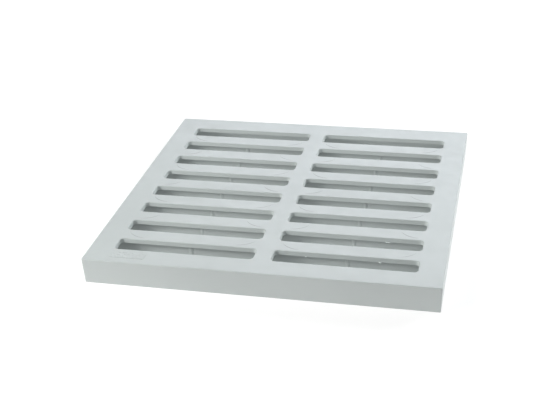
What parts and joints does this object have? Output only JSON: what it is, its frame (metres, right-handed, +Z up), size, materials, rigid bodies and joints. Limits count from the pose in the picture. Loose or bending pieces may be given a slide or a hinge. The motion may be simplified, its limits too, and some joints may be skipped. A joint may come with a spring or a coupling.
{
  "type": "slotted grate",
  "caption": "Square light grey plastic grate: a flat deck with two columns of rounded slots over stiffening ribs, inside a shallow downward skirt.",
  "frame": {"origin": "centre of the square, in the plane of the skirt's foot", "axes": "+Z up, square to the deck; the front edge, with the blank tablet, faces -Y; the slots run along X"},
  "size_m": [0.2, 0.2, 0.0154],
  "materials": {
    "grey_pvc": "satin light grey moulded plastic"
  },
  "bodies": {
    "root": {"border_front": "grey_pvc", "border_rear": "grey_pvc", "border_left": "grey_pvc", "border_right": "grey_pvc", "spine": "grey_pvc", "bar_left_1": "grey_pvc", "bar_right_1": "grey_pvc", "bar_left_2": "grey_pvc", "bar_right_2": "grey_pvc", "bar_left_3": "grey_pvc", "bar_right_3": "grey_pvc", "bar_left_4": "grey_pvc", "bar_right_4": "grey_pvc", "bar_left_5": "grey_pvc", "bar_right_5": "grey_pvc", "bar_left_6": "grey_pvc", "bar_right_6": "grey_pvc", "bar_left_7": "grey_pvc", "bar_right_7": "grey_pvc", "skirt_front": "grey_pvc", "skirt_right": "grey_pvc", "skirt_rear": "grey_pvc", "skirt_left": "grey_pvc", "spine_rib": "grey_pvc", "rib_left_1": "grey_pvc", "rib_right_1": "grey_pvc", "rib_left_2": "grey_pvc", "rib_right_2": "grey_pvc", "rib_left_3": "grey_pvc", "rib_right_3": "grey_pvc", "rib_left_4": "grey_pvc", "rib_right_4": "grey_pvc", "rib_left_5": "grey_pvc", "rib_right_5": "grey_pvc", "rib_left_6": "grey_pvc", "rib_right_6": "grey_pvc", "rib_left_7": "grey_pvc", "rib_right_7": "grey_pvc", "blank_tablet": "grey_pvc"}
  },
  "joints": []
}
